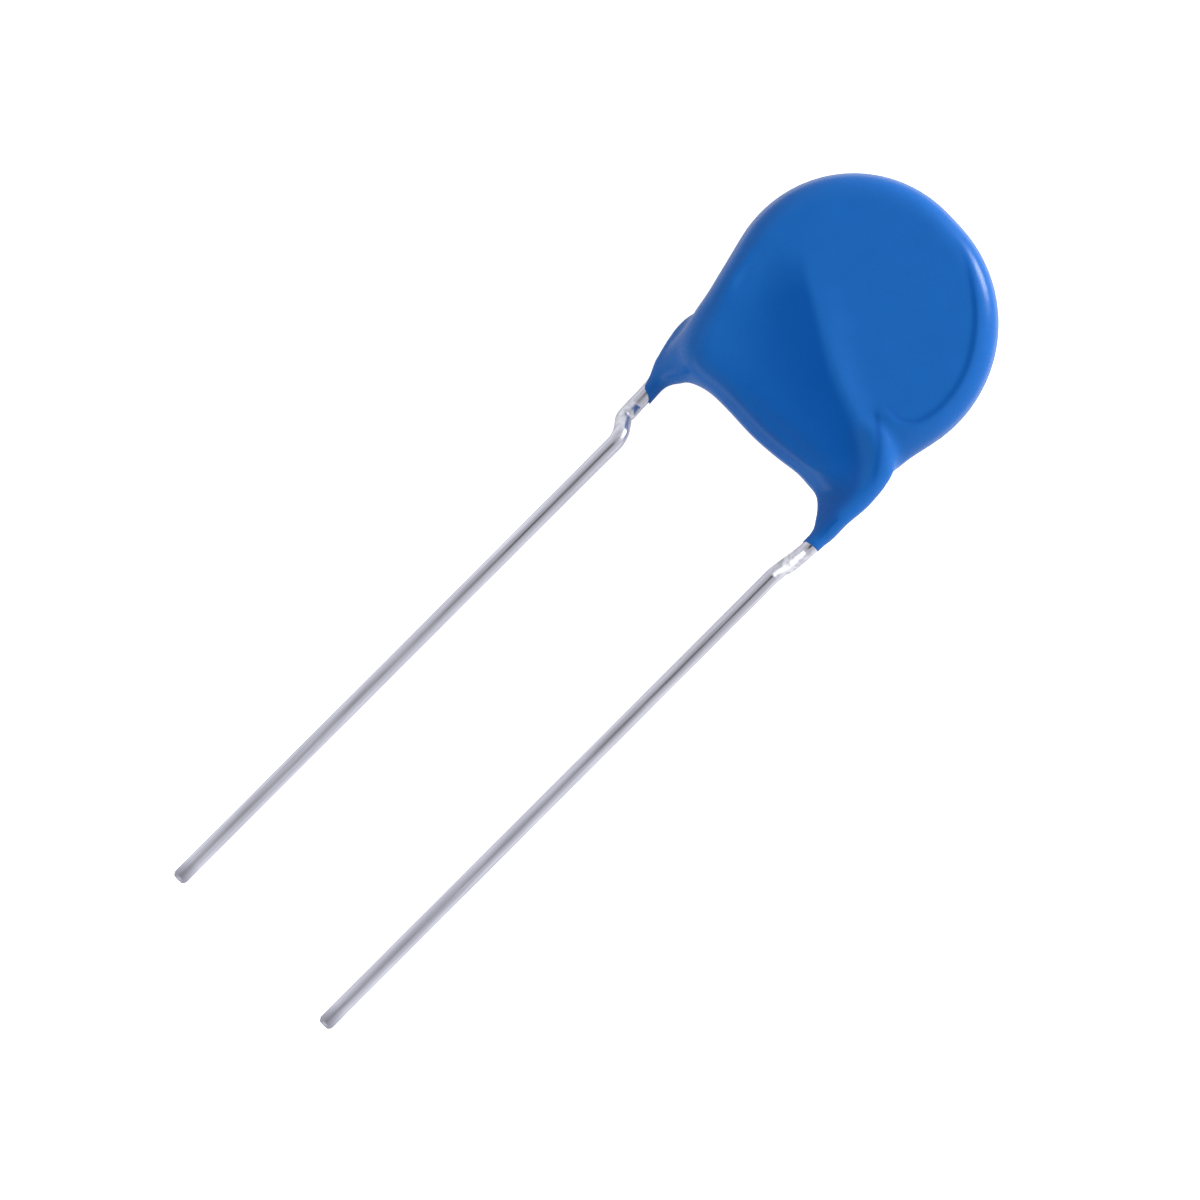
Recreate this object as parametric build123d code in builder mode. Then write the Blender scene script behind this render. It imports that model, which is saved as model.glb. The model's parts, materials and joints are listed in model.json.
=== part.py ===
import os
from math import radians, tan

from build123d import *

os.makedirs("parts", exist_ok=True)

# Ceramic disc, with a silver film on each face
ceramic_diameter = 9.0
ceramic_thickness = 1.5
electrode_thickness = 0.03

# Leads: one tinned wire on each face, kinked below the coating into one common plane
wire_diameter = 0.6
lead_pitch = 7.5
lead_length = 24.8
lead_offset = 0.67  # from the disc's centre line to the midline of the leads
cut_edge_bevel = 0.06
kink_length = 2.0
kink_bend = 0.6
shoulder_bend = 1.5
end_drop = 0.9  # from the disc's centre down to the end of each wire
front_kink_gap = 0.45
front_kink_jog = 0.2
front_shoulder_height = 2.57  # from the lower edge of the web up to the bend
back_kink_gap = 0.75
back_kink_jog = 0.43
back_shoulder_height = 1.59
back_splay = 0.6

# Solder bead along the end of each wire
solder_film = 0.05
solder_height = 0.38
solder_width = 1.3
solder_length = 3.2
solder_corner = 0.4
solder_lap = 0.3
solder_draft = 30

# Coating: dipped resin, an oval disc with a web below it and a neck up each wire
coat_growth = 1.39
coat_drift = 0.07
coat_sag = 0.31
crest_growth = 0.51
crest_drift = -0.51
crest_rise = 0.15
coat_over_solder = 0.14
rim_round = 1.05
web_depth = 0.335
web_tilt = 0.12  # how much higher the web ends at the front lead
web_corner = 1.2
front_web_inset = 1.4
back_web_inset = 0.53
neck_edge_bevel = 0.08
front_sheath_coat = 0.13
front_neck_length = 1.44
front_neck_slant = 15
back_sheath_coat = 0.16
back_neck_length = 1.62
back_neck_slant = 42
front_meniscus_round = 1.3
back_meniscus_round = 1.7
overrun = 0.2

# Sizes and places that follow from these
coat_diameter = ceramic_diameter + coat_growth
crest_diameter = ceramic_diameter + crest_growth
web_drop = coat_diameter / 2 + coat_sag + web_depth
front_neck_reach = web_drop + front_neck_length
back_neck_reach = web_drop + back_neck_length
front_shoulder_drop = web_drop - front_shoulder_height
back_shoulder_drop = web_drop - back_shoulder_height
crown = crest_rise + crest_diameter / 2
overall_length = crown + front_neck_reach + lead_length
disc_y = overall_length / 2 - crown
tip_y = -overall_length / 2
wire_radius = wire_diameter / 2
solder_seat = ceramic_thickness / 2 + electrode_thickness
wire_rise = solder_seat + solder_film + wire_radius
coat_half_thickness = solder_seat + solder_height + coat_over_solder
front_sheath_radius = wire_radius + front_sheath_coat
back_sheath_radius = wire_radius + back_sheath_coat
mid_z = wire_rise + back_sheath_radius
front_z = mid_z + wire_rise
back_z = mid_z - wire_rise

# Route of each wire: cut tip, foot and top of the kink, shoulder, end on the disc
front_x = lead_offset + lead_pitch / 2
front_neck_x = front_x + front_kink_jog
front_kink_y = disc_y - front_neck_reach - front_kink_gap
front_route = [
    Vector(front_x, tip_y, mid_z),
    Vector(front_x, front_kink_y - kink_length, mid_z),
    Vector(front_neck_x, front_kink_y, front_z),
    Vector(front_neck_x, disc_y - front_shoulder_drop, front_z),
    Vector(0, disc_y - end_drop, front_z),
]
back_x = lead_offset - lead_pitch / 2
back_neck_x = back_x - back_kink_jog
back_kink_y = disc_y - front_neck_reach - back_kink_gap
back_route = [
    Vector(back_x, tip_y, mid_z),
    Vector(back_x, back_kink_y - kink_length, mid_z),
    Vector(back_neck_x, back_kink_y, back_z),
    Vector(back_neck_x - back_splay, disc_y - back_shoulder_drop, back_z),
    Vector(0, disc_y - end_drop, back_z),
]


# A wire bent along its route, with the burr of the cut bevelled off
def bent_wire(route):
    with BuildPart() as wire:
        with BuildLine() as run:
            FilletPolyline(*route, radius=[kink_bend, kink_bend, shoulder_bend])
        with BuildSketch(Plane(origin=run.wire() @ 0, z_dir=run.wire() % 0)):
            Circle(wire_radius)
        sweep()
        chamfer(wire.edges().group_by(Axis.Y)[0], cut_edge_bevel)
    return wire.part


# A drafted bead of solder that the wire's end is bedded in
def solder_bead(route, up):
    run = (route[3] - route[4]).normalized()
    middle = route[4] + run * (solder_length / 2 - solder_lap)
    seat = Vector(middle.X, middle.Y, mid_z + up * solder_seat)
    with BuildPart() as bead:
        with BuildSketch(Plane(origin=seat, x_dir=run, z_dir=(0, 0, up))) as foot:
            Rectangle(solder_length, solder_width)
            chamfer(foot.vertices(), solder_corner)
        extrude(amount=solder_height, taper=solder_draft)
    return bead.part


# The resin over one wire: a ridge on the disc's face, and a neck that thins to a slanted end
def resin_sheath(route, radius, reach, slant):
    kink, shoulder, end = route[2:]
    rise = (shoulder - kink).normalized()
    tip = kink + rise * ((disc_y - reach - kink.Y) / rise.Y)
    tail = radius * tan(radians(abs(slant))) + overrun
    with BuildPart() as sheath:
        with BuildLine() as run:
            FilletPolyline(tip - rise * tail, shoulder, end, radius=shoulder_bend)
        with BuildSketch(Plane(origin=run.wire() @ 0, z_dir=rise)):
            Circle(radius)
        sweep()
        with Locations(end):
            Sphere(radius)
        split(bisect_by=Plane(origin=tip, z_dir=rise.rotate(Axis.Z, slant)), keep=Keep.TOP)
        chamfer(sheath.edges().sort_by(Axis.Y)[0], neck_edge_bevel)
    return sheath.part


# Ceramic disc
with BuildPart() as ceramic_disc:
    with BuildSketch(Plane.XY.offset(mid_z)):
        with Locations((0, disc_y)):
            Circle(ceramic_diameter / 2)
    extrude(amount=ceramic_thickness / 2, both=True)

# Silver films fired onto the faces
with BuildPart() as front_electrode:
    with BuildSketch(Plane.XY.offset(mid_z + ceramic_thickness / 2)):
        with Locations((0, disc_y)):
            Circle(ceramic_diameter / 2)
    extrude(amount=electrode_thickness)

with BuildPart() as back_electrode:
    with BuildSketch(Plane.XY.offset(mid_z - ceramic_thickness / 2)):
        with Locations((0, disc_y)):
            Circle(ceramic_diameter / 2)
    extrude(amount=-electrode_thickness)

# Leads
with BuildPart() as front_lead:
    add(bent_wire(front_route))

with BuildPart() as back_lead:
    add(bent_wire(back_route))

# Solder joints, each hollowed by its wire
with BuildPart() as front_solder:
    add(solder_bead(front_route, 1))
    add(front_lead.part, mode=Mode.SUBTRACT)

with BuildPart() as back_solder:
    add(solder_bead(back_route, -1))
    add(back_lead.part, mode=Mode.SUBTRACT)

inner_pieces = {
    "ceramic_disc": ceramic_disc,
    "front_electrode": front_electrode,
    "back_electrode": back_electrode,
    "front_solder": front_solder,
    "back_solder": back_solder,
    "front_lead": front_lead,
    "back_lead": back_lead,
}

# Coating: the oval and the web in one outline, then the sheaths, blended like a meniscus
with BuildPart() as coating:
    with BuildSketch(Plane.XY.offset(mid_z)):
        with BuildLine() as rims:
            CenterArc((coat_drift, disc_y - coat_sag), coat_diameter / 2, 0, 360)
            CenterArc((crest_drift, disc_y + crest_rise), crest_diameter / 2, 0, 360)
            corner_y = disc_y - web_drop + web_corner
            CenterArc((front_neck_x - front_web_inset, corner_y + web_tilt), web_corner, 0, 360)
            CenterArc((back_neck_x + back_web_inset, corner_y), web_corner, 0, 360)
        make_hull(rims.edges())
    extrude(amount=coat_half_thickness, both=True)
    fillet(coating.faces().filter_by(Axis.Z).edges(), rim_round)
    add(resin_sheath(front_route, front_sheath_radius, front_neck_reach, front_neck_slant))
    fillet(coating.edges(Select.NEW), front_meniscus_round)
    add(resin_sheath(back_route, back_sheath_radius, back_neck_reach, -back_neck_slant))
    fillet(coating.edges(Select.NEW), back_meniscus_round)
    for piece in inner_pieces.values():
        add(piece.part, mode=Mode.SUBTRACT)

# One STEP file for each piece
for name, piece in {"coating": coating, **inner_pieces}.items():
    piece.part.label = name
    export_step(piece.part, f"parts/{name}.step")
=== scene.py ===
import json
from math import cos, pi, radians, sin

import bmesh
import bpy
import numpy as np
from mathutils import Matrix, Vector
from mathutils.bvhtree import BVHTree


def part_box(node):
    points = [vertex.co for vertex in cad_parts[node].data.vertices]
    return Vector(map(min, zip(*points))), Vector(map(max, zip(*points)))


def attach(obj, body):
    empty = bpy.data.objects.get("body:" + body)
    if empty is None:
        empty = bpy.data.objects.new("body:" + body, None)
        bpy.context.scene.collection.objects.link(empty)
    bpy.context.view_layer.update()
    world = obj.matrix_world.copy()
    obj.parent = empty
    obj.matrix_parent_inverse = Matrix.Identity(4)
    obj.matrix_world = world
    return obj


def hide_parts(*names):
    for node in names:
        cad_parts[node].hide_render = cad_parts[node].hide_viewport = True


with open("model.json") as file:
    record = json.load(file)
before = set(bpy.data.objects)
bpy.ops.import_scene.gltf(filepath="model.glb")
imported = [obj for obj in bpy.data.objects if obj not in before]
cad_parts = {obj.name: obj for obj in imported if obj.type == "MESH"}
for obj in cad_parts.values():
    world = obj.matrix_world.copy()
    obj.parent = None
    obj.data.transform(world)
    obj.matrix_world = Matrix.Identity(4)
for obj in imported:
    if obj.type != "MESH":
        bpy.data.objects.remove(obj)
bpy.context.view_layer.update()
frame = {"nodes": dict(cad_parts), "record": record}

# Resin coating: the soldered disc is dipped in blue epoxy, drained with its leads down and cured.
# It is one glossy skin that thins to a film on each wire and swells softly over the wires under it.
# Sizes are in millimetres, and places are measured from the middle of the ceramic disc.
MM = 0.001
nodes = frame["nodes"]
disc_low, disc_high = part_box("ceramic_disc")
disc_middle = (disc_low + disc_high) / 2


def from_disc(place):
    return (Vector(place) - disc_middle) / MM


front_mount, back_mount = frame["record"]["mounts"]
front_pin = from_disc(front_mount["pos_m"])
back_pin = from_disc(back_mount["pos_m"])
wire_radius = front_mount["dims"]["r_mm"]
coat_low, coat_high = (from_disc(corner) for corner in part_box("coating"))
front_low, front_high = (from_disc(corner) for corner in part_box("front_lead"))
back_low = from_disc(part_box("back_lead")[0])
back_jog = 0.47  # how far the back wire steps aside at its kink
front_neck_x = front_high.x - wire_radius
front_neck_z = front_high.z - wire_radius
back_neck_x = back_pin.x - back_jog
back_neck_z = back_low.z + wire_radius

skin_grain = 0.065
weld_gap = 0.0005
buried_gap = 0.015

# a tongue of resin runs from the face down the left neck: x, y, z, half width and half height
tongue_rings = 26
tongue_sides = 32
tongue_rows = np.array(
    [
        (-2.4, -3.0, 0.2, 1.5, 0.85),
        (-2.9, -4.3, 0.14, 1.35, 0.95),
        (-3.18, -5.1, -0.16, 1.1, 0.9),
        (-3.4, -5.8, -0.62, 0.74, 0.7),
        (-3.49, -6.4, -0.94, 0.5, 0.53),
        (-3.52, -6.9, -1.1, 0.38, 0.4),
    ]
)
row_numbers = np.arange(len(tongue_rows))
ring_marks = np.linspace(0, row_numbers[-1], tongue_rings)
tongue = np.stack([np.interp(ring_marks, row_numbers, column) for column in tongue_rows.T], axis=1)


def outer_skin(coat, hidden_pieces):
    """The outside of the coat, closed over its holes, with the tongue set into it."""
    skin = bmesh.new()
    skin.from_mesh(coat.data)
    bmesh.ops.remove_doubles(skin, verts=skin.verts, dist=weld_gap * MM)
    trees = [
        BVHTree.FromPolygons(
            [vertex.co for vertex in piece.data.vertices],
            [face.vertices[:] for face in piece.data.polygons],
        )
        for piece in hidden_pieces
    ]
    buried = {
        vertex
        for vertex in skin.verts
        if any(tree.find_nearest(vertex.co, buried_gap * MM)[0] is not None for tree in trees)
    }
    inside = [face for face in skin.faces if buried.issuperset(face.verts)]
    bmesh.ops.delete(skin, geom=inside, context="FACES")
    bmesh.ops.holes_fill(skin, edges=[edge for edge in skin.edges if edge.is_boundary], sides=0)
    rings = []
    for x, y, z, half_width, half_height in tongue:
        middle = disc_middle + Vector((x, y, z)) * MM
        ring = []
        for turn in np.linspace(0, 2 * pi, tongue_sides, endpoint=False):
            spoke = Vector((half_width * cos(turn), 0, half_height * sin(turn)))
            ring.append(skin.verts.new(middle + spoke * MM))
        rings.append(ring)
    for here, there in zip(rings, rings[1:]):
        for k in range(tongue_sides):
            skin.faces.new((here[k - 1], here[k], there[k], there[k - 1]))
    skin.faces.new(rings[0][::-1])
    skin.faces.new(rings[-1])
    bmesh.ops.recalc_face_normals(skin, faces=skin.faces)
    mesh = bpy.data.meshes.new("resin_skin")
    skin.to_mesh(mesh)
    skin.free()
    return mesh


hidden_pieces = [node for name, node in nodes.items() if name != "coating"]
resin = bpy.data.objects.new("resin_coating", outer_skin(nodes["coating"], hidden_pieces))
bpy.context.scene.collection.objects.link(resin)
fuse = resin.modifiers.new("even skin", "REMESH")
fuse.mode = "VOXEL"
fuse.voxel_size = skin_grain * MM
bpy.context.view_layer.update()
fused = resin.evaluated_get(bpy.context.evaluated_depsgraph_get())
even_skin = bpy.data.meshes.new_from_object(fused)
resin.modifiers.clear()
resin.data = even_skin
even_skin.name = "resin_coating"

points = np.empty(len(even_skin.vertices) * 3)
even_skin.vertices.foreach_get("co", points)
points = (points.reshape(-1, 3) - np.array(disc_middle)) / MM
edges = np.empty(len(even_skin.edges) * 2, dtype=np.int64)
even_skin.edges.foreach_get("vertices", edges)
edges = edges.reshape(-1, 2)

level_rate = 0.5
first_rounds = 10


def soften(mask, rounds, axes=(0, 1, 2)):
    """Each point moves towards the middle of its neighbours, as wet resin levels out."""
    first, second = edges.T
    count = np.bincount(edges.ravel(), minlength=len(points))
    for _ in range(rounds):
        for k in axes:
            value = points[:, k]
            total = np.bincount(first, value[second], len(points))
            total += np.bincount(second, value[first], len(points))
            points[:, k] += level_rate * mask * (total / count - value)


def smooth_step(start, end, value):
    t = np.clip((value - start) / (end - start), 0, 1)
    return t * t * (3 - 2 * t)


soften(1.0, first_rounds)

curve_step = 0.05
search_batch = 4000


def easy_curve(corners):
    """A smooth line through the corners, in steps, and how far along it each step is."""
    corners = np.array(corners)
    before = 2 * corners[:1] - corners[1:2]
    after = 2 * corners[-1:] - corners[-2:-1]
    padded = np.concatenate([before, corners, after])
    runs = []
    for p0, p1, p2, p3 in zip(padded, padded[1:], padded[2:], padded[3:]):
        steps = max(2, int(np.linalg.norm(p2 - p1) / curve_step))
        t = np.linspace(0, 1, steps, endpoint=False)[:, None]
        slope = (p2 - p0) * t
        bend = (2 * p0 - 5 * p1 + 4 * p2 - p3) * t**2
        twist = (3 * p1 - p0 - 3 * p2 + p3) * t**3
        runs.append((2 * p1 + slope + bend + twist) / 2)
    line = np.concatenate(runs + [corners[-1:]])
    lengths = np.linalg.norm(np.diff(line, axis=0), axis=1)
    return line, np.concatenate([[0], np.cumsum(lengths)])


def nearest_to(places, others):
    """Which of the others is nearest to each place, searched in batches to spare memory."""
    nearest = np.empty(len(places), dtype=np.int64)
    for k in range(0, len(places), search_batch):
        batch = slice(k, k + search_batch)
        gaps = ((places[batch, None] - others[None]) ** 2).sum(axis=2)
        nearest[batch] = gaps.argmin(axis=1)
    return nearest


def beside(places, line, marks):
    """Distance of each place from the line, positive on its left hand, and how far along it lies."""
    nearest = nearest_to(places, line)
    ahead = np.gradient(line, axis=0)[nearest]
    off = places - line[nearest]
    side = np.sign(ahead[:, 0] * off[:, 1] - ahead[:, 1] * off[:, 0])
    return side * np.hypot(*off.T), marks[nearest]


# the front face swells to a crest over the wire, and falls away from it towards the web
face_start = 0.5
equator_band = 0.08
front = np.flatnonzero(points[:, 2] > face_start)
plan = points[front, :2]
equator = points[abs(points[:, 2]) < equator_band, :2]
edge_gap = np.linalg.norm(plan - equator[nearest_to(plan, equator)], axis=1)

crest_corners = [
    (4.62, -5.6),
    (4.5, -4.5),
    (3.81, -3.56),
    (2.53, -2.79),
    (0.85, -2.14),
    (-1.09, -0.98),
    (-2.7, -0.02),
    (-3.6, 0.6),
]
aside, along = beside(plan, *easy_curve(crest_corners))
crest_height = np.interp(along, [0, 1.1, 2.3, 3.8, 5.6, 7.8, 9.7], [0.2, 0.12, 0.03, 0.06, 0.1, 0.04, 0])
crest_flank = np.interp(along, [0, 1.1, 2.3, 3.8, 5.6, 7.8], [0.7, 0.5, 0.38, 0.45, 0.55, 0.7])
fall_depth = np.interp(along, [0, 2.3, 4, 6, 8, 9.7, 10.8], [0.1, 0.13, 0.19, 0.21, 0.19, 0.13, 0])
fall_width = np.interp(along, [0, 2.3, 4, 6, 8, 10], [0.9, 1.6, 2.6, 3.0, 2.6, 1.8])
fall_power = 1.7
sharp_until = 5
blurred_from = 8
near_crest = 1 - np.clip(aside / fall_width, 0, 1)
blurred = smooth_step(sharp_until, blurred_from, along)
fallen = (1 - blurred) * (1 - near_crest**fall_power) + blurred * smooth_step(0, 1, 1 - near_crest)
web_side = crest_height - np.maximum(fall_depth, crest_height) * fallen
rim_side = crest_height * np.exp(-((aside / crest_flank) ** 2))
swell = np.where(aside > 0, web_side, rim_side)

# painted shade: the coat's blue is painted darker in the fold beside the crest, where the face turns away
# from the light
fold_edge = 0.4
fold_width_share = 1.5
fold_power = 0.7
fold_fade_from = 8.5
fold_end = 10.6
painted_shade = np.zeros(len(points))
painted_shade[front] = (1 - np.clip(aside / (fold_width_share * fall_width), 0, 1)) ** fold_power
painted_shade[front] *= smooth_step(0, fold_edge, aside) * (1 - smooth_step(fold_fade_from, fold_end, along))

# a roll round the rim and a crease down to the right neck: low banks, with a dark line of painted shade at
# the foot
roll_corners = [
    (2.6, -1.55),
    (2.95, -1.66),
    (3.69, -1.63),
    (4.2, -1.11),
    (4.33, 0.05),
    (3.94, 1.47),
    (2.85, 2.95),
    (1.36, 4.05),
    (0.2, 4.5),
]
crease_corners = [(2.75, -1.9), (2.91, -2.14), (3.88, -2.98), (4.6, -4.0), (4.8, -4.6)]
bank_gap = 0.15
bank_spread = 0.5
foot_width = 0.11
foot_shade = 0.75
height_marks = [2, 3.5]
for corners, side, steep, fade_in, fade_from, end, heights in (
    (roll_corners, -1, 0.13, 0.8, 7.5, 9.6, (0.052, 0.042)),
    (crease_corners, 1, 0.14, 0.5, 2.4, 3.2, (0.018, 0.018)),
):
    aside, along = beside(plan, *easy_curve(corners))
    shown = smooth_step(0, fade_in, along) * (1 - smooth_step(fade_from, end, along))
    from_top = side * aside - bank_gap
    spread = np.where(from_top < 0, steep, bank_spread)
    swell += shown * np.interp(along, height_marks, heights) * np.exp(-((from_top / spread) ** 2))
    # painted shade: a dark line drawn along the foot of each bank
    foot_shade_line = foot_shade * shown * np.exp(-((aside / foot_width) ** 2))
    painted_shade[front] = np.maximum(painted_shade[front], foot_shade_line)

# the rim turns over tightly, and more slowly at the lower right where it runs into the neck
left_neck = easy_curve([(-2.2, -2.9), (-3.0, -4.4), (-3.4, -5.2), (-3.65, -5.9), (-3.75, -6.9)])
right_neck = easy_curve([(3.7, -3.7), (4.4, -4.6), (4.5, -5.2), (4.6, -6.5)])
ridge_rise = 0.275  # of the ridges over the wires, above the plain face
rim_rounds = 14
rim_from, rim_full = 0.03, 0.15
level_from, level_full = 0.05, 0.2
swell_from, swell_full = 0.3, 0.9
left_clear_from, left_clear_full = 1.0, 1.9
right_clear_from, right_clear_full = 0.9, 1.6
face_height = (coat_high.z - coat_low.z) / 2 - ridge_rise
bearing = np.degrees(np.arctan2(plan[:, 1], plan[:, 0]))
bearings = [-140, -110, -60, -35, -12, 15, 70, 120]
fullness = np.interp(bearing, bearings, [2.9, 2.4, 2.3, 2.3, 2.7, 2.9, 3.0, 2.9])
rim_width = np.interp(bearing, bearings, [1.05, 1.4, 1.5, 1.4, 1.1, 1.05, 1.05, 1.05])
turned_over = 1 - np.clip(edge_gap / rim_width, 0, 1)
rim_height = face_height * (1 - turned_over**fullness) ** (1 / fullness)
clear_of_left = smooth_step(left_clear_from, left_clear_full, abs(beside(plan, *left_neck)[0]))
clear_of_right = smooth_step(right_clear_from, right_clear_full, abs(beside(plan, *right_neck)[0]))
rim_mask = smooth_step(rim_from, rim_full, edge_gap) * clear_of_left * clear_of_right
points[front, 2] += rim_mask * (rim_height - points[front, 2])
mask = np.zeros(len(points))
mask[front] = smooth_step(level_from, level_full, edge_gap)
soften(mask, rim_rounds, axes=(2,))
points[front, 2] += swell * smooth_step(swell_from, swell_full, edge_gap)

# where the left neck leaves the body the resin runs down onto it in one slope
neck_start = -2.5
left_rounds = 150
left_full, left_end = 1.2, 2.3
foot_from, foot_full = 0.1, 0.4
lower = np.flatnonzero((points[:, 1] < neck_start) & (points[:, 2] > back_neck_z))
lower_plan = points[lower, :2]
across, along = beside(lower_plan, *left_neck)
foot_height = np.interp(along, [0, 1.7, 2.55, 3.3, 4.3], [0, -0.19, -0.54, -0.89, -1.13])
mask = np.zeros(len(points))
mask[lower] = smooth_step(left_end, left_full, abs(across))
mask[lower] *= smooth_step(foot_from, foot_full, points[lower, 2] - foot_height)
soften(mask, left_rounds)

# the right neck rises from the face in one slope
right_rounds = 110
right_full, right_end = 0.7, 1.5
right_low, right_high = front_neck_z - 0.1, front_neck_z + 0.2
across = beside(lower_plan, *right_neck)[0]
mask = np.zeros(len(points))
mask[lower] = smooth_step(right_end, right_full, abs(across))
mask[lower] *= smooth_step(right_low, right_high, points[lower, 2])
soften(mask, right_rounds)

# small swellings of the outline, where more or less resin ran down: x, y, size and push
for x, y, size, push_x, push_y in (
    (-4.4, -4.17, 0.6, -0.06, 0.02),
    (-4.38, -5.2, 0.8, -0.03, 0),
    (-4.19, -6.4, 0.5, 0.05, 0),
    (-2.7, -6.0, 0.7, 0, -0.12),
    (0.4, -5.9, 1.2, 0, -0.1),
    (2.46, -5.8, 0.6, 0, 0.07),
    (3.8, -6.1, 0.6, -0.1, -0.03),
    (5.04, -4.8, 0.7, 0.06, 0),
    (4.8, -3.1, 0.5, 0.07, -0.02),
):
    off = points[:, :2] - np.array([x, y])
    pushed = np.exp(-(off**2).sum(axis=1) / size**2)
    points[:, 0] += pushed * push_x
    points[:, 1] += pushed * push_y

# the back face levels out by itself
back_rounds = 150
flat_radius, flat_end = 3.4, 4.6
from_middle = np.hypot(points[:, 0], points[:, 1])
flat = smooth_step(flat_end, flat_radius, from_middle)
soften(np.where(points[:, 2] < 0, flat, 0), back_rounds)

# the necks thin out to a film on the wire
film = 0.03
film_radius = wire_radius + film
neck_mark = -7.0  # where a drifting neck has its own x
neck_reach = 1.2
wire_core = 0.1  # nearer to the axis lies only the closed end of the skin
last_rounds = 4
for neck_x, drift, neck_z, thin_from, thin_to, lead_in in (
    (front_neck_x, 0.0, front_neck_z, 6.35, 7.05, 4.7),
    (back_neck_x, -0.06, back_neck_z, 6.3, 7.15, 5.7),
):
    below = -points[:, 1]
    axis_x = neck_x + drift * (points[:, 1] - neck_mark)
    off = np.stack([points[:, 0] - axis_x, points[:, 2] - neck_z], axis=1)
    reach = np.hypot(*off.T)
    wanted = reach + smooth_step(thin_from, thin_to, below) * (film_radius - reach)
    on_neck = (below > lead_in) & (reach > wire_core) & (reach < neck_reach)
    scale = np.ones(len(points))
    scale[on_neck] = np.maximum(wanted, film_radius)[on_neck] / reach[on_neck]
    points[:, 0] = axis_x + off[:, 0] * scale
    points[:, 2] = neck_z + off[:, 1] * scale
soften(1.0, last_rounds)

even_skin.vertices.foreach_set("co", (points * MM + np.array(disc_middle)).ravel())
# the painted shade goes onto the skin as a point attribute, which the resin finish reads
even_skin.attributes.new("painted_shade", "FLOAT", "POINT").data.foreach_set("value", painted_shade)
even_skin.polygons.foreach_set("use_smooth", np.ones(len(even_skin.polygons), dtype=bool))
even_skin.update()


def grain_group():
    """Fine uneven grain over a surface, as a mask: its size in millimetres, and its stretch along Y."""
    group = bpy.data.node_groups.new("uneven_grain", "ShaderNodeTree")
    sockets = group.interface
    for name, default in (("Size", 0.5), ("Stretch", 1.0), ("Detail", 3.0)):
        socket = sockets.new_socket(name=name, in_out="INPUT", socket_type="NodeSocketFloat")
        socket.default_value = default
    sockets.new_socket(name="Mask", in_out="OUTPUT", socket_type="NodeSocketFloat")
    add, link = group.nodes.new, group.links.new
    inputs, outputs = add("NodeGroupInput"), add("NodeGroupOutput")
    place = add("ShaderNodeTexCoord")
    density = add("ShaderNodeMath")
    density.operation = "DIVIDE"
    density.inputs[0].default_value = 1 / MM
    link(inputs.outputs["Size"], density.inputs[1])
    drawn_out = add("ShaderNodeMath")
    drawn_out.operation = "DIVIDE"
    link(density.outputs[0], drawn_out.inputs[0])
    link(inputs.outputs["Stretch"], drawn_out.inputs[1])
    scale = add("ShaderNodeCombineXYZ")
    link(density.outputs[0], scale.inputs["X"])
    link(drawn_out.outputs[0], scale.inputs["Y"])
    link(density.outputs[0], scale.inputs["Z"])
    stretched = add("ShaderNodeVectorMath")
    stretched.operation = "MULTIPLY"
    link(place.outputs["Object"], stretched.inputs[0])
    link(scale.outputs[0], stretched.inputs[1])
    noise = add("ShaderNodeTexNoise")
    noise.inputs["Scale"].default_value = 1.0
    link(stretched.outputs[0], noise.inputs["Vector"])
    link(inputs.outputs["Detail"], noise.inputs["Detail"])
    link(noise.outputs["Fac"], outputs.inputs["Mask"])
    return group


uneven_grain = grain_group()


def new_finish(name):
    material = bpy.data.materials.new(name)
    material.use_nodes = True
    return material, material.node_tree, material.node_tree.nodes["Principled BSDF"]


def grain_mask(tree, size, stretch, detail):
    grain = tree.nodes.new("ShaderNodeGroup")
    grain.node_tree = uneven_grain
    grain.inputs["Size"].default_value = size
    grain.inputs["Stretch"].default_value = stretch
    grain.inputs["Detail"].default_value = detail
    return grain.outputs["Mask"]


def shades(tree, mask, start, end, first, second):
    """A colour that goes from the first to the second as the mask goes from start to end."""
    ramp = tree.nodes.new("ShaderNodeValToRGB")
    low, high = ramp.color_ramp.elements
    low.position = start
    high.position = end
    low.color = (*first, 1)
    high.color = (*second, 1)
    tree.links.new(mask, ramp.inputs["Fac"])
    return ramp.outputs["Color"]


def between(tree, mask, lowest, highest):
    """A value that goes from the lowest to the highest with the mask."""
    spread = tree.nodes.new("ShaderNodeMapRange")
    spread.inputs["To Min"].default_value = lowest
    spread.inputs["To Max"].default_value = highest
    tree.links.new(mask, spread.inputs["Value"])
    return spread.outputs["Result"]


def covered(tree, mask, under):
    """A mix that shows the colour under, and its own second colour where the mask is full."""
    mix = tree.nodes.new("ShaderNodeMix")
    mix.data_type = "RGBA"
    tree.links.new(mask, mix.inputs["Factor"])
    tree.links.new(under, mix.inputs["A"])
    return mix


def bumped(tree, mask, strength, distance):
    bump = tree.nodes.new("ShaderNodeBump")
    bump.inputs["Strength"].default_value = strength
    bump.inputs["Distance"].default_value = distance
    tree.links.new(mask, bump.inputs["Height"])
    return bump.outputs["Normal"]


def named_mask(tree, name):
    mask = tree.nodes.new("ShaderNodeAttribute")
    mask.attribute_name = name
    return mask.outputs["Fac"]


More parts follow.
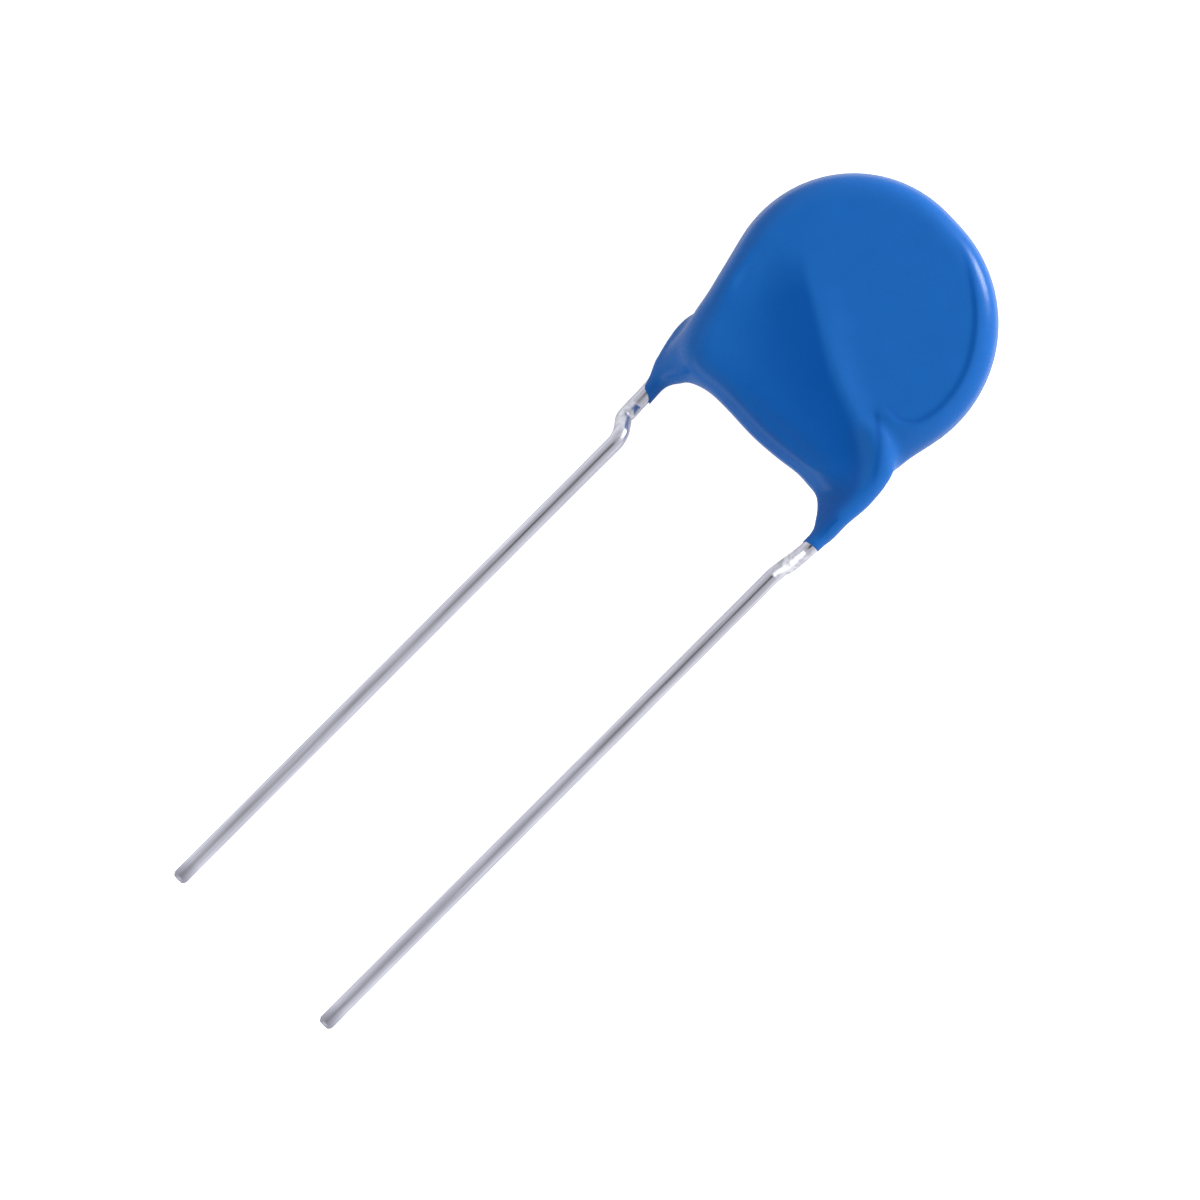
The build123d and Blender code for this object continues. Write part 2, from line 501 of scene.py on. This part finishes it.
blue_resin, tree, shader = new_finish("blue_resin")
shader.inputs["IOR"].default_value = 1.47
shader.inputs["Specular IOR Level"].default_value = 0.2
mottle = grain_mask(tree, size=0.9, stretch=1.0, detail=4.0)
blue = shades(tree, mottle, 0.3, 0.7, (0.008, 0.115, 0.43), (0.0088, 0.121, 0.448))
# painted shade: a darker blue where the painted-shade mask is full, in the fold beside the crest and along
# the foot lines of the roll and crease
painted_shade_blue = covered(tree, named_mask(tree, "painted_shade"), blue)
painted_shade_blue.inputs["B"].default_value = (0.001, 0.078, 0.355, 1)
ripple = grain_mask(tree, size=1.6, stretch=1.0, detail=1.0)
tree.links.new(painted_shade_blue.outputs["Result"], shader.inputs["Base Color"])
gloss = between(tree, mottle, lowest=0.25, highest=0.3)
tree.links.new(gloss, shader.inputs["Roughness"])
waves = bumped(tree, ripple, strength=0.12, distance=0.02 * MM)
tree.links.new(waves, shader.inputs["Normal"])
even_skin.materials.clear()
even_skin.materials.append(blue_resin)

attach(resin, "root")
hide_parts("coating")

# Leads: soft tinned wire, drawn round, soldered under the resin and cropped at the far end.
# A tool crimps each wire just below the resin, which steps it sideways into the common plane.
wire_sides = 40
ring_step = 0.05
crimp_press = 0.1
tip_round = 0.2
tip_share = 0.6


def wire_path(corners, eased_rings):
    """Points a ring step apart along the corners, with each corner eased over some rings."""
    corners = np.array(corners)
    runs = np.linalg.norm(np.diff(corners, axis=0), axis=1)
    marks = np.concatenate([[0], np.cumsum(runs)])
    steps = np.linspace(0, marks[-1], int(marks[-1] / ring_step) + 1)
    path = np.stack([np.interp(steps, marks, corners[:, k]) for k in range(3)], axis=1)
    before = 2 * path[0] - path[eased_rings:0:-1]
    after = 2 * path[-1] - path[-2 : -eased_rings - 2 : -1]
    padded = np.concatenate([before, path, after])
    weights = np.hanning(2 * eased_rings + 3)[1:-1]
    weights /= weights.sum()
    return np.stack([np.convolve(padded[:, k], weights, mode="valid") for k in range(3)], axis=1)


def drawn_wire(name, path, crimp_y, crimp_length, wear, nick_y, nick_length, nick_depth, nick_turn):
    """Rings round the path, pressed flat and wider at the crimp and nicked on one side."""
    ahead = np.gradient(path, axis=0)
    ahead /= np.linalg.norm(ahead, axis=1)[:, None]
    across = np.cross(ahead, (0, 0, 1))
    across /= np.linalg.norm(across, axis=1)[:, None]
    upward = np.cross(across, ahead)
    turn = np.linspace(0, 2 * pi, wire_sides, endpoint=False)
    crimped = np.exp(-(((path[:, 1] - crimp_y) / crimp_length) ** 2))
    from_tip = np.clip((path[:, 1] - path[0, 1]) / tip_round, 0, 1)
    radius = wire_radius * np.sqrt(1 - tip_share * (1 - from_tip) ** 2)
    half_width = radius * (1 + crimp_press / 2 * crimped)
    half_height = radius * (1 - crimp_press * crimped)
    nicked = nick_depth * np.exp(-(((path[:, 1] - nick_y) / nick_length) ** 2))
    nick = 1 - nicked[:, None] * np.clip(np.cos(turn - nick_turn), 0, 1)
    sideways = across[:, None] * (half_width[:, None] * nick * np.cos(turn))[..., None]
    rise = upward[:, None] * (half_height[:, None] * nick * np.sin(turn))[..., None]
    rings = (path[:, None] + sideways + rise) * MM + np.array(disc_middle)
    mesh = bmesh.new()
    loops = [[mesh.verts.new(place) for place in ring] for ring in rings]
    for here, there in zip(loops, loops[1:]):
        for k in range(wire_sides):
            mesh.faces.new((here[k], here[k - 1], there[k - 1], there[k]))
    mesh.faces.new(loops[0])
    mesh.faces.new(loops[-1][::-1])
    bmesh.ops.recalc_face_normals(mesh, faces=mesh.faces)
    for face in mesh.faces:
        face.smooth = len(face.verts) == 4
    data = bpy.data.meshes.new(name)
    mesh.to_mesh(data)
    mesh.free()
    worn = np.repeat(wear * crimped, wire_sides)
    data.attributes.new("crimped", "FLOAT", "POINT").data.foreach_set("value", worn)
    wire = bpy.data.objects.new(name, data)
    bpy.context.scene.collection.objects.link(wire)
    return wire


buried_dip = 0.15
front_path = wire_path(
    [
        (front_pin.x, front_low.y, front_pin.z),
        (front_pin.x, -8.85, front_pin.z),
        (front_neck_x - 0.05, -8.0, front_neck_z - 0.5),
        (front_neck_x, -7.35, front_neck_z),
        (front_neck_x, -5.6, front_neck_z),
        (front_neck_x - 0.1, -4.3, front_neck_z - buried_dip),
        (3.0, -3.0, front_neck_z - buried_dip),
        (0, -1.65, front_neck_z - buried_dip),
    ],
    eased_rings=5,
)
back_path = wire_path(
    [
        (back_pin.x, back_low.y, back_pin.z),
        (back_pin.x, -9.5, back_pin.z),
        (back_pin.x - 0.1, -9.15, back_pin.z - 0.12),
        (back_neck_x + 0.05, -8.7, back_neck_z + 0.5),
        (back_neck_x + 0.01, -8.1, back_neck_z + 0.03),
        (back_neck_x, -7.6, back_neck_z),
        (back_neck_x - 0.06, -6.4, back_neck_z),
        (back_neck_x - 0.48, -4.25, back_neck_z),
        (0, -0.9, back_neck_z),
    ],
    eased_rings=4,
)
front_wire = drawn_wire(
    "front_wire",
    front_path,
    crimp_y=-8.15,
    crimp_length=0.45,
    wear=0.9,
    nick_y=-8.55,
    nick_length=0.12,
    nick_depth=0.12,
    nick_turn=radians(20),
)
back_wire = drawn_wire(
    "back_wire",
    back_path,
    crimp_y=-8.65,
    crimp_length=0.5,
    wear=0.5,
    nick_y=-8.62,
    nick_length=0.09,
    nick_depth=0.42,
    nick_turn=radians(45),
)

tinned_wire, tree, shader = new_finish("tinned_wire")
shader.inputs["Metallic"].default_value = 1.0
place = tree.nodes.new("ShaderNodeTexCoord")
way_along = tree.nodes.new("ShaderNodeSeparateXYZ")
tree.links.new(place.outputs["Object"], way_along.inputs["Vector"])


def toward_tip(start, end, most):
    """A value that grows from none at the start to the most at the end, further down the wire."""
    growth = tree.nodes.new("ShaderNodeMapRange")
    growth.inputs["From Min"].default_value = disc_middle.y + start * MM
    growth.inputs["From Max"].default_value = disc_middle.y + end * MM
    growth.inputs["To Max"].default_value = most
    tree.links.new(way_along.outputs["Y"], growth.inputs["Value"])
    return growth.outputs["Result"]


# the tin is streaked by drawing, pressed bright at the crimp and grey at the cut end
cut_length = 0.9
drawing = grain_mask(tree, size=0.09, stretch=30.0, detail=3.0)
streaks = shades(tree, drawing, 0.3, 0.7, (0.555, 0.555, 0.635), (0.72, 0.72, 0.825))
pressed = grain_mask(tree, size=0.28, stretch=1.0, detail=4.0)
press_marks = shades(tree, pressed, 0.4, 0.56, (0.49, 0.5, 0.54), (0.83, 0.84, 0.88))
crimp_mask = named_mask(tree, "crimped")
worn_tin = covered(tree, crimp_mask, streaks)
tree.links.new(press_marks, worn_tin.inputs["B"])
cut_mask = toward_tip(front_low.y + cut_length, front_low.y, most=1.0)
cut_end = covered(tree, cut_mask, worn_tin.outputs["Result"])
cut_end.inputs["B"].default_value = (0.33, 0.335, 0.4, 1)
tree.links.new(cut_end.outputs["Result"], shader.inputs["Base Color"])

# it is blotchy, duller where it was handled and scuffed at the crimp and the cut
handled_from, handled_full = -14, -21
blotch = grain_mask(tree, size=0.7, stretch=4.0, detail=3.0)
blotches = between(tree, blotch, lowest=0.14, highest=0.32)
handled = tree.nodes.new("ShaderNodeMath")
tree.links.new(blotches, handled.inputs[0])
tree.links.new(toward_tip(handled_from, handled_full, most=0.2), handled.inputs[1])
rubbed = tree.nodes.new("ShaderNodeMath")
rubbed.operation = "MAXIMUM"
tree.links.new(crimp_mask, rubbed.inputs[0])
tree.links.new(cut_mask, rubbed.inputs[1])
scuffed = tree.nodes.new("ShaderNodeMix")
scuffed.inputs["B"].default_value = 0.5
tree.links.new(rubbed.outputs[0], scuffed.inputs["Factor"])
tree.links.new(handled.outputs[0], scuffed.inputs["A"])
tree.links.new(scuffed.outputs["Result"], shader.inputs["Roughness"])
die_lines = bumped(tree, drawing, strength=0.25, distance=0.01 * MM)
tree.links.new(die_lines, shader.inputs["Normal"])
for wire, node in ((front_wire, "front_lead"), (back_wire, "back_lead")):
    wire.data.materials.append(tinned_wire)
    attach(wire, "root")
    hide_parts(node)

# Ceramic disc: barium titanate powder, pressed and fired to a hard plate, and sealed in the resin.
# It is the tan of an unglazed part, with a fine grain.


def grained_finish(name, metallic, grain_size, detail, first, second, smoothest, roughest):
    material, tree, shader = new_finish(name)
    shader.inputs["Metallic"].default_value = metallic
    grain = grain_mask(tree, grain_size, 1.0, detail)
    tree.links.new(shades(tree, grain, 0.3, 0.7, first, second), shader.inputs["Base Color"])
    tree.links.new(between(tree, grain, smoothest, roughest), shader.inputs["Roughness"])
    return material


def dress(names, material):
    for name in names:
        nodes[name].data.materials.clear()
        nodes[name].data.materials.append(material)


fired_ceramic = grained_finish(
    "fired_ceramic",
    metallic=0.0,
    grain_size=0.15,
    detail=6.0,
    first=(0.5, 0.34, 0.22),
    second=(0.66, 0.5, 0.35),
    smoothest=0.65,
    roughest=0.85,
)
dress(["ceramic_disc"], fired_ceramic)

# Silver films: a paste printed on each face of the ceramic and fired to a thin metal film.
# They carry the charge, and the solder wets them.
silver_film = grained_finish(
    "silver_film",
    metallic=1.0,
    grain_size=0.3,
    detail=5.0,
    first=(0.68, 0.68, 0.66),
    second=(0.84, 0.84, 0.82),
    smoothest=0.35,
    roughest=0.5,
)
dress(["front_electrode", "back_electrode"], silver_film)

# Solder beads: tin solder run along the end of each wire, which holds it to the film.
# The bead cools to a satin skin.
soft_solder = grained_finish(
    "soft_solder",
    metallic=1.0,
    grain_size=0.2,
    detail=4.0,
    first=(0.52, 0.52, 0.54),
    second=(0.7, 0.7, 0.71),
    smoothest=0.25,
    roughest=0.45,
)
dress(["front_solder", "back_solder"], soft_solder)

# Floor: a plain matt white sheet just under the part, which keeps the part's shadow.
# It glows a little to the camera and in reflections, so that it reads as white there.
floor_half = 0.6
floor_drop = 0.02 * MM
camera_glow = 0.85
mirror_glow = 0.2
floor_corners = [(-1, -1), (1, -1), (1, 1), (-1, 1)]
floor_mesh = bpy.data.meshes.new("floor")
floor_mesh.from_pydata([(x * floor_half, y * floor_half, 0) for x, y in floor_corners], [], [(0, 1, 2, 3)])
floor = bpy.data.objects.new("floor", floor_mesh)
floor.location.z = -floor_drop
bpy.context.scene.collection.objects.link(floor)
white_sheet, tree, shader = new_finish("white_sheet")
shader.inputs["Base Color"].default_value = (0.85, 0.85, 0.85, 1)
shader.inputs["Roughness"].default_value = 0.9
shader.inputs["Specular IOR Level"].default_value = 0
shader.inputs["Emission Color"].default_value = (1, 1, 1, 1)
seen = tree.nodes.new("ShaderNodeLightPath")
mirrored = tree.nodes.new("ShaderNodeMath")
mirrored.operation = "MAXIMUM"
tree.links.new(seen.outputs["Is Glossy Ray"], mirrored.inputs[0])
tree.links.new(seen.outputs["Is Transmission Ray"], mirrored.inputs[1])
to_camera = tree.nodes.new("ShaderNodeMath")
to_camera.operation = "MULTIPLY"
to_camera.inputs[1].default_value = camera_glow
tree.links.new(seen.outputs["Is Camera Ray"], to_camera.inputs[0])
glow = tree.nodes.new("ShaderNodeMath")
glow.operation = "MULTIPLY_ADD"
glow.inputs[1].default_value = mirror_glow
tree.links.new(mirrored.outputs[0], glow.inputs[0])
tree.links.new(to_camera.outputs[0], glow.inputs[2])
tree.links.new(glow.outputs[0], shader.inputs["Emission Strength"])
floor_mesh.materials.append(white_sheet)

# Light: a white tent round the part, with a dark hole overhead where the camera looks in.
# A small strip lights the rim from the picture's right, and a low panel fills in from the lead tips.
picture_turn = radians(45)
key_turn = radians(22)
upright = Vector((0, 0, 1))
picture_right = Vector((cos(picture_turn), sin(picture_turn), 0))
picture_up = Vector((-sin(picture_turn), cos(picture_turn), 0))
key_way = picture_right * cos(key_turn) + picture_up * sin(key_turn)
hole_left = 0.15
hole_down = 0.05
hole_way = upright - hole_left * picture_right - hole_down * picture_up
hole_spread = radians(20)

world = bpy.data.worlds.new("studio_tent")
bpy.context.scene.world = world
world.use_nodes = True
tent = world.node_tree
view_way = tent.nodes.new("ShaderNodeTexCoord")


def tent_level(way, start, first, last):
    """Brightness that goes from first to last as a view turns from the start to straight at the way."""
    facing = tent.nodes.new("ShaderNodeVectorMath")
    facing.operation = "DOT_PRODUCT"
    facing.inputs[1].default_value = way.normalized()
    tent.links.new(view_way.outputs["Generated"], facing.inputs[0])
    level = tent.nodes.new("ShaderNodeMapRange")
    level.inputs["From Min"].default_value = start
    level.inputs["To Min"].default_value = first
    level.inputs["To Max"].default_value = last
    tent.links.new(facing.outputs["Value"], level.inputs["Value"])
    return level


def product(first, second):
    times = tent.nodes.new("ShaderNodeMath")
    times.operation = "MULTIPLY"
    tent.links.new(first, times.inputs[0])
    tent.links.new(second, times.inputs[1])
    return times.outputs[0]


sides = tent_level(key_way, start=-1.0, first=0.76, last=0.95)
hole = tent_level(hole_way, start=cos(hole_spread), first=1.0, last=0.02)
hole.interpolation_type = "SMOOTHSTEP"
climb = tent_level(upright, start=0.0, first=1.2, last=0.6)
walls = product(sides.outputs["Result"], hole.outputs["Result"])
backdrop = tent.nodes["Background"]
backdrop.inputs["Color"].default_value = (1, 1, 1, 1)
tent.links.new(product(walls, climb.outputs["Result"]), backdrop.inputs["Strength"])


def soft_panel(name, way, elevation, distance, width, height, watts):
    light = bpy.data.lights.new(name, "AREA")
    light.shape = "RECTANGLE"
    light.size = width
    light.size_y = height
    light.energy = watts
    away = (way * cos(elevation) + upright * sin(elevation)) * distance
    panel = bpy.data.objects.new(name, light)
    panel.location = disc_middle + away
    panel.rotation_euler = (-away).to_track_quat("-Z", "Y").to_euler()
    bpy.context.scene.collection.objects.link(panel)


soft_panel("right_strip", key_way, radians(19), distance=0.2, width=0.05, height=0.07, watts=0.44)
soft_panel("low_fill", Vector((0, -1, 0)), radians(18), distance=0.25, width=0.2, height=0.14, watts=0.13)

# Camera: a long lens straight above the part, turned so that the leads run down to the left.
# The width of its frame and its aim set the part's size and place in the picture.
frame_width = 43.7 * MM
aim_x = 0.589 * MM
aim_y = -0.424 * MM
lens = bpy.data.cameras.new("camera")
lens.sensor_width = 36
lens.lens = 250
lens.clip_start = 0.01
camera = bpy.data.objects.new("camera", lens)
camera.location = (aim_x, aim_y, disc_middle.z + frame_width * lens.lens / lens.sensor_width)
camera.rotation_euler = (0, 0, picture_turn)
bpy.context.scene.collection.objects.link(camera)
bpy.context.scene.camera = camera
bpy.context.scene.view_settings.view_transform = "Standard"
